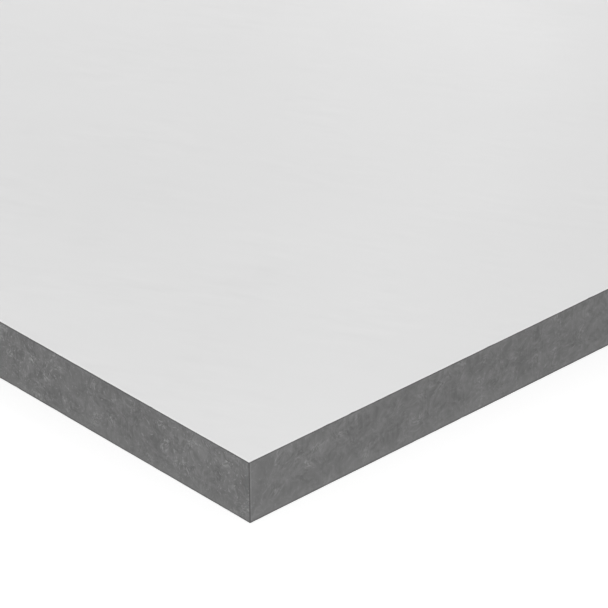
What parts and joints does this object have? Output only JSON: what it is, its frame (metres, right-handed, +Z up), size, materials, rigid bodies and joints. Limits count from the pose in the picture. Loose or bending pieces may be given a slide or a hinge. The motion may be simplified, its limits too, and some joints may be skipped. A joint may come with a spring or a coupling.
{
  "type": "pvc sheet",
  "caption": "Thick flat square sheet of rigid grey PVC with smooth pressed faces and sawn sides, sold as stock for machining, bonding and bolting.",
  "frame": {"origin": "centre of the lower pressed face, which lies on the floor", "axes": "+Z up through the thickness, out of the upper pressed face; +X along the length and +Y along the width"},
  "size_m": [0.6096, 0.6096, 0.0254],
  "materials": {
    "grey_pvc": "satin"
  },
  "bodies": {
    "root": {"sheet": "grey_pvc"}
  },
  "joints": []
}
